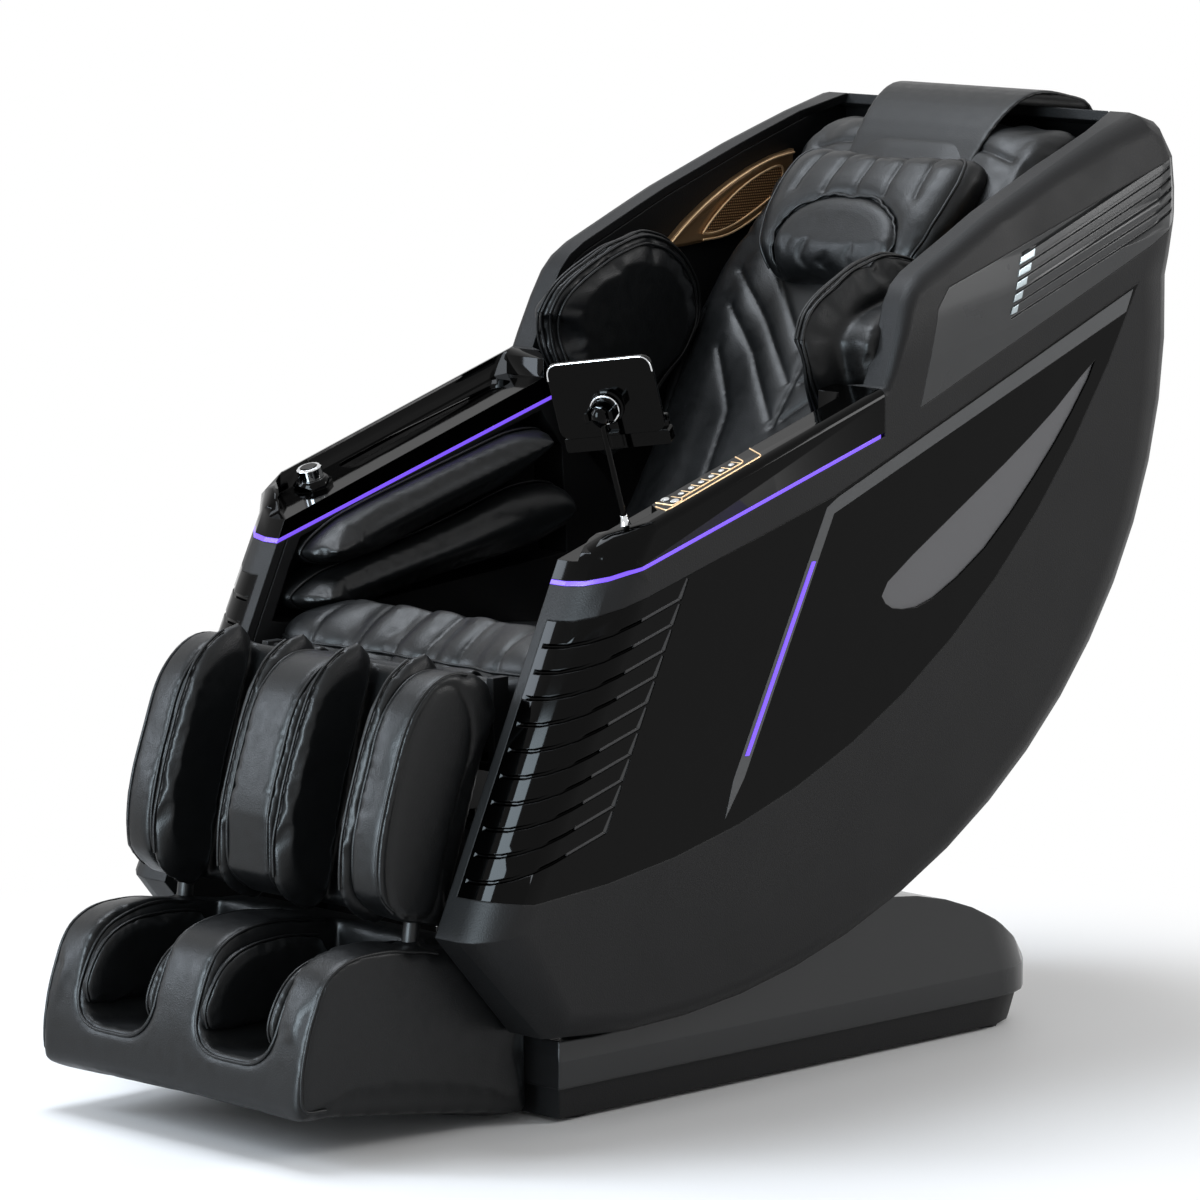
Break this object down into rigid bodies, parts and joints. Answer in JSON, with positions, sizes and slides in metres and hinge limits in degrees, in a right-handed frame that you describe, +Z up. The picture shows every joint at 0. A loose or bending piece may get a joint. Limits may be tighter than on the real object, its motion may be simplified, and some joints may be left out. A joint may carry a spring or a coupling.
{
  "type": "massage chair",
  "caption": "Reclining massage chair with a tub body on a rocking base, side louvres, arm consoles, air cushions, a folding leg rest and a phone holder",
  "frame": {"origin": "centre of the whole chair's footprint, on the floor", "axes": "+Z up, -Y the way the sitter faces, +X the sitter's left"},
  "size_m": [0.733, 1.6079, 1.28],
  "materials": {
    "base_grey": "dark grey, high gloss",
    "bronze": "bronze, satin metallic",
    "chrome": "bright chrome",
    "gloss_black": "piano black, high gloss",
    "leather": "black coated leather with a fine grain",
    "light_violet": "violet light guide",
    "matte_black": "fine matte grain",
    "satin_grey": "satin grey",
    "steel": "dark grey coated steel"
  },
  "bodies": {
    "base": {"base_plinth": "matte_black", "base_cover": "base_grey", "base_cradle": "steel", "recline_drive": "steel"},
    "drive_rollers": {"drive_rollers": "matte_black"},
    "chair": {"seat_frame": "steel", "rear_cover": "matte_black", "seat_cushion": "leather", "back_cushion": "leather", "head_pillow": "leather", "head_flap": "leather", "massage_track": "steel", "power_box": "matte_black", "side_shell_left": "matte_black", "side_panel_left": "gloss_black", "panel_trim_left": "satin_grey", "panel_light_left": "light_violet", "upper_panel_left": "satin_grey", "arm_console_left": "gloss_black", "arm_light_left": "light_violet", "inner_liner_left": "matte_black", "arm_airbag_upper_left": "leather", "arm_airbag_lower_left": "leather", "shoulder_airbag_left": "leather", "speaker_left": "bronze", "side_shell_right": "matte_black", "side_panel_right": "gloss_black", "panel_trim_right": "satin_grey", "panel_light_right": "light_violet", "upper_panel_right": "satin_grey", "arm_console_right": "gloss_black", "arm_light_right": "light_violet", "inner_liner_right": "matte_black", "arm_airbag_upper_right": "leather", "arm_airbag_lower_right": "leather", "shoulder_airbag_right": "leather", "speaker_right": "bronze"},
    "massage_carriage": {"massage_carriage": "steel"},
    "kneading_rollers": {"kneading_rollers": "matte_black"},
    "control_knob": {"control_knob": "chrome"},
    "knob_button": {"knob_button": "gloss_black"},
    "phone_stem": {"phone_stem": "chrome"},
    "phone_cradle": {"phone_cradle": "gloss_black"},
    "phone_clamp": {"phone_clamp": "gloss_black"},
    "legrest": {"calf_frame": "leather", "calf_airbag_1": "leather", "calf_airbag_2": "leather", "calf_airbag_3": "leather", "calf_airbag_4": "leather"},
    "footrest": {"foot_block": "leather"},
    "foot_roller_left": {"foot_roller_left": "matte_black"},
    "foot_roller_right": {"foot_roller_right": "matte_black"},
    "button_1": {"button_1": "chrome"},
    "button_2": {"button_2": "chrome"},
    "button_3": {"button_3": "chrome"},
    "button_4": {"button_4": "chrome"},
    "button_5": {"button_5": "chrome"},
    "button_6": {"button_6": "chrome"},
    "button_7": {"button_7": "chrome"},
    "button_8": {"button_8": "chrome"}
  },
  "joints": [
    {"name": "recline", "type": "hinge", "parent": "base", "child": "chair", "pos_m": [0, 0.006, 1.15], "axis": [-1, 0, 0], "range_deg": [0, 25]},
    {"name": "drive_rollers_turn", "type": "hinge", "parent": "base", "child": "drive_rollers", "pos_m": [0, -0.15624, 0.31532], "axis": [-1, 0, 0], "continuous": true},
    {"name": "carriage_travel", "type": "slide", "parent": "chair", "child": "massage_carriage", "axis": [0, 0.5976, 0.8018], "range_m": [0, 0.48]},
    {"name": "kneading_turn", "type": "hinge", "parent": "massage_carriage", "child": "kneading_rollers", "pos_m": [0, 0.32549, 0.57839], "axis": [1, 0, 0], "continuous": true},
    {"name": "legrest_raise", "type": "hinge", "parent": "chair", "child": "legrest", "pos_m": [0, -0.418, 0.572], "axis": [-1, 0, 0], "range_deg": [0, 70]},
    {"name": "footrest_extend", "type": "slide", "parent": "legrest", "child": "footrest", "axis": [0, -0.1392, -0.9903], "range_m": [0, 0.1]},
    {"name": "foot_roller_left_turn", "type": "hinge", "parent": "footrest", "child": "foot_roller_left", "pos_m": [0.1175, -0.664, 0.09513], "axis": [1, 0, 0], "continuous": true},
    {"name": "foot_roller_right_turn", "type": "hinge", "parent": "footrest", "child": "foot_roller_right", "pos_m": [-0.1175, -0.664, 0.09513], "axis": [1, 0, 0], "continuous": true},
    {"name": "knob_turn", "type": "hinge", "parent": "chair", "child": "control_knob", "pos_m": [-0.318, -0.25975, 0.77887], "axis": [0, -0.3048, 0.9524], "continuous": true},
    {"name": "knob_press", "type": "slide", "parent": "control_knob", "child": "knob_button", "axis": [0, 0.3048, -0.9524], "range_m": [0, 0.001], "stiffness_N_per_m": 500},
    {"name": "button_1_press", "type": "slide", "parent": "chair", "child": "button_1", "axis": [0, 0.3048, -0.9524], "range_m": [0, 0.0012], "stiffness_N_per_m": 400},
    {"name": "button_2_press", "type": "slide", "parent": "chair", "child": "button_2", "axis": [0, 0.3048, -0.9524], "range_m": [0, 0.0012], "stiffness_N_per_m": 400},
    {"name": "button_3_press", "type": "slide", "parent": "chair", "child": "button_3", "axis": [0, 0.3048, -0.9524], "range_m": [0, 0.0012], "stiffness_N_per_m": 400},
    {"name": "button_4_press", "type": "slide", "parent": "chair", "child": "button_4", "axis": [0, 0.3048, -0.9524], "range_m": [0, 0.0012], "stiffness_N_per_m": 400},
    {"name": "button_5_press", "type": "slide", "parent": "chair", "child": "button_5", "axis": [0, 0.3048, -0.9524], "range_m": [0, 0.0012], "stiffness_N_per_m": 400},
    {"name": "button_6_press", "type": "slide", "parent": "chair", "child": "button_6", "axis": [0, 0.3048, -0.9524], "range_m": [0, 0.0012], "stiffness_N_per_m": 400},
    {"name": "button_7_press", "type": "slide", "parent": "chair", "child": "button_7", "axis": [0, 0.3048, -0.9524], "range_m": [0, 0.0012], "stiffness_N_per_m": 400},
    {"name": "button_8_press", "type": "slide", "parent": "chair", "child": "button_8", "axis": [0, 0.3048, -0.9524], "range_m": [0, 0.0012], "stiffness_N_per_m": 400},
    {"name": "phone_swivel", "type": "hinge", "parent": "chair", "child": "phone_stem", "pos_m": [0.313, -0.27609, 0.76105], "axis": [0, -0.3048, 0.9524], "range_deg": [-90, 90]},
    {"name": "phone_tilt", "type": "hinge", "parent": "phone_stem", "child": "phone_cradle", "pos_m": [0.313, -0.3279, 0.92296], "axis": [0.8988, 0.4175, 0.1336], "range_deg": [-15, 30]},
    {"name": "phone_clamp_open", "type": "slide", "parent": "phone_cradle", "child": "phone_clamp", "axis": [0, 0.3048, -0.9524], "range_m": [0, 0.03]}
  ],
  "couplings": [
    {"joint": "drive_rollers_turn", "follows": "recline", "ratio": -27.333}
  ]
}
